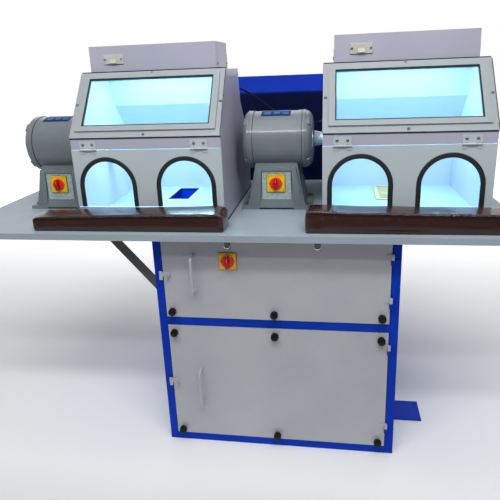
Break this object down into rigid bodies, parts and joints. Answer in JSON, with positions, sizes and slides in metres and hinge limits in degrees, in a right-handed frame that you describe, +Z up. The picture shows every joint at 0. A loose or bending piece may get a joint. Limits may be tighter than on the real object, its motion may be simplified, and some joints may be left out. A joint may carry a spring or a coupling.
{
  "type": "cabbing machine",
  "caption": "Lapidary cabbing bench: grinding motors beside lit dust hoods with arm holes, padded armrests, over a dust-collector cabinet with a front door.",
  "frame": {"origin": "centre of the cabinet's footprint on the floor", "axes": "+X to the operator's right along the table, +Y from the operator towards the back, +Z up"},
  "size_m": [1.78, 0.8835, 1.327],
  "materials": {
    "blue_paint": "semi-gloss",
    "white_paint": "satin",
    "table_paint": "semi-gloss",
    "motor_grey": "painted, satin",
    "brace_grey": "satin",
    "galvanised": "spangled",
    "bright_steel": "turned",
    "screw_steel": "bright",
    "window_glass": "clear",
    "black_rubber": "matte",
    "pad_leather": "glossy, ruched seams",
    "yellow_plate": "gloss",
    "red_knob": "gloss",
    "black_knob": "matte",
    "white_plastic": "satin",
    "lamp_plastic": "diffusing",
    "filter_paper": "pleated",
    "grille_wood": "bare slats",
    "fan_alloy": "pressed",
    "cable_rubber": "matte"
  },
  "bodies": {
    "cabinet_and_table": {"cabinet_front_frame": "blue_paint", "cabinet_panels": "blue_paint", "cabinet_rear_panel": "blue_paint", "foot_plate": "blue_paint", "table_top": "table_paint", "table_brackets": "brace_grey", "suction_chutes": "blue_paint", "floor_grille": "grille_wood", "hood_left_shell": "white_paint", "hood_right_shell": "white_paint", "hood_cheeks": "white_paint", "window_frames": "white_paint", "window_glasses": "window_glass", "window_gaskets": "black_rubber", "flap_hinge_plates": "bright_steel", "lamp_boxes": "white_paint", "lamp_tubes": "lamp_plastic", "lamp_switch_plates": "white_plastic", "machine_screws": "screw_steel", "motor_casings": "motor_grey", "motor_end_bells": "motor_grey", "motor_pedestals": "motor_grey", "motor_cover_plates": "galvanised", "motor_switch_plates": "yellow_plate", "armrest_left": "pad_leather", "armrest_right": "pad_leather", "fan_housing": "galvanised", "fan_motor": "motor_grey", "filter_cartridge": "filter_paper", "exhaust_duct": "blue_paint", "lamp_cable": "cable_rubber", "cable_glands": "black_knob"},
    "upper_door": {"upper_door": "white_paint", "upper_door_handle": "white_paint", "isolator_plate": "yellow_plate"},
    "lower_door": {"lower_door": "white_paint", "lower_door_handle": "white_paint"},
    "flap_left": {"flap_left": "white_paint", "flap_left_edging": "black_rubber"},
    "flap_right": {"flap_right": "white_paint", "flap_right_edging": "black_rubber"},
    "upper_latch": {"upper_latch": "white_paint"},
    "lower_latch": {"lower_latch": "white_paint"},
    "isolator_knob": {"isolator_knob": "red_knob"},
    "spindle_left": {"spindle_left": "bright_steel"},
    "spindle_right": {"spindle_right": "bright_steel"},
    "switch_knob_left": {"switch_knob_left": "red_knob"},
    "switch_knob_right": {"switch_knob_right": "red_knob"},
    "lamp_rocker_left": {"lamp_rocker_left": "white_plastic"},
    "lamp_rocker_right": {"lamp_rocker_right": "white_plastic"},
    "fan_impeller": {"fan_impeller": "fan_alloy"},
    "clamp_knob_1": {"clamp_knob_1": "black_knob"},
    "clamp_knob_2": {"clamp_knob_2": "black_knob"},
    "clamp_knob_3": {"clamp_knob_3": "black_knob"},
    "clamp_knob_4": {"clamp_knob_4": "black_knob"},
    "clamp_knob_5": {"clamp_knob_5": "black_knob"},
    "clamp_knob_6": {"clamp_knob_6": "black_knob"},
    "clamp_knob_7": {"clamp_knob_7": "black_knob"},
    "clamp_knob_8": {"clamp_knob_8": "black_knob"},
    "clamp_knob_9": {"clamp_knob_9": "black_knob"}
  },
  "joints": [
    {"name": "upper_door_hinge", "type": "hinge", "parent": "cabinet_and_table", "child": "upper_door", "pos_m": [0.354, -0.3472, 0.6], "axis": [0, 0, 1], "range_deg": [0, 120]},
    {"name": "lower_door_hinge", "type": "hinge", "parent": "cabinet_and_table", "child": "lower_door", "pos_m": [0.354, -0.3472, 0.25], "axis": [0, 0, 1], "range_deg": [0, 120]},
    {"name": "flap_left_hinge", "type": "hinge", "parent": "cabinet_and_table", "child": "flap_left", "pos_m": [-0.392, -0.2955, 1.0182], "axis": [-1, 0, 0], "range_deg": [0, 100]},
    {"name": "flap_right_hinge", "type": "hinge", "parent": "cabinet_and_table", "child": "flap_right", "pos_m": [0.388, -0.2955, 1.0182], "axis": [-1, 0, 0], "range_deg": [0, 100]},
    {"name": "upper_latch_turn", "type": "hinge", "parent": "upper_door", "child": "upper_latch", "pos_m": [-0.339, -0.342, 0.625], "axis": [0, 1, 0], "range_deg": [0, 90]},
    {"name": "lower_latch_turn", "type": "hinge", "parent": "lower_door", "child": "lower_latch", "pos_m": [-0.339, -0.342, 0.236], "axis": [0, 1, 0], "range_deg": [0, 90]},
    {"name": "isolator_turn", "type": "hinge", "parent": "upper_door", "child": "isolator_knob", "pos_m": [-0.14, -0.346, 0.676], "axis": [0, -1, 0], "range_deg": [0, 90]},
    {"name": "clamp_knob_1_turn", "type": "hinge", "parent": "lower_door", "child": "clamp_knob_1", "pos_m": [-0.33, -0.342, 0.047], "axis": [0, 1, 0], "continuous": true},
    {"name": "clamp_knob_2_turn", "type": "hinge", "parent": "lower_door", "child": "clamp_knob_2", "pos_m": [0, -0.342, 0.047], "axis": [0, 1, 0], "continuous": true},
    {"name": "clamp_knob_3_turn", "type": "hinge", "parent": "lower_door", "child": "clamp_knob_3", "pos_m": [0.33, -0.342, 0.047], "axis": [0, 1, 0], "continuous": true},
    {"name": "clamp_knob_4_turn", "type": "hinge", "parent": "lower_door", "child": "clamp_knob_4", "pos_m": [-0.33, -0.342, 0.424], "axis": [0, 1, 0], "continuous": true},
    {"name": "clamp_knob_5_turn", "type": "hinge", "parent": "lower_door", "child": "clamp_knob_5", "pos_m": [0, -0.342, 0.424], "axis": [0, 1, 0], "continuous": true},
    {"name": "clamp_knob_6_turn", "type": "hinge", "parent": "lower_door", "child": "clamp_knob_6", "pos_m": [0.33, -0.342, 0.424], "axis": [0, 1, 0], "continuous": true},
    {"name": "clamp_knob_7_turn", "type": "hinge", "parent": "upper_door", "child": "clamp_knob_7", "pos_m": [-0.33, -0.342, 0.5], "axis": [0, 1, 0], "continuous": true},
    {"name": "clamp_knob_8_turn", "type": "hinge", "parent": "upper_door", "child": "clamp_knob_8", "pos_m": [0, -0.342, 0.5], "axis": [0, 1, 0], "continuous": true},
    {"name": "clamp_knob_9_turn", "type": "hinge", "parent": "upper_door", "child": "clamp_knob_9", "pos_m": [0.33, -0.342, 0.5], "axis": [0, 1, 0], "continuous": true},
    {"name": "switch_left_turn", "type": "hinge", "parent": "cabinet_and_table", "child": "switch_knob_left", "pos_m": [-0.789, -0.13, 0.871], "axis": [0, -1, 0], "range_deg": [0, 90]},
    {"name": "switch_right_turn", "type": "hinge", "parent": "cabinet_and_table", "child": "switch_knob_right", "pos_m": [-0.009, -0.13, 0.871], "axis": [0, -1, 0], "range_deg": [0, 90]},
    {"name": "lamp_rocker_left_tilt", "type": "hinge", "parent": "cabinet_and_table", "child": "lamp_rocker_left", "pos_m": [-0.52, -0.15, 1.286], "axis": [1, 0, 0], "range_deg": [0, 16]},
    {"name": "lamp_rocker_right_tilt", "type": "hinge", "parent": "cabinet_and_table", "child": "lamp_rocker_right", "pos_m": [0.26, -0.15, 1.286], "axis": [1, 0, 0], "range_deg": [0, 16]},
    {"name": "spindle_left_spin", "type": "hinge", "parent": "cabinet_and_table", "child": "spindle_left", "pos_m": [-0.789, -0.034, 1.006], "axis": [1, 0, 0], "continuous": true},
    {"name": "spindle_right_spin", "type": "hinge", "parent": "cabinet_and_table", "child": "spindle_right", "pos_m": [-0.009, -0.034, 1.006], "axis": [1, 0, 0], "continuous": true},
    {"name": "fan_spin", "type": "hinge", "parent": "cabinet_and_table", "child": "fan_impeller", "pos_m": [0, -0.02, 0.352], "axis": [0, 0, 1], "continuous": true}
  ]
}
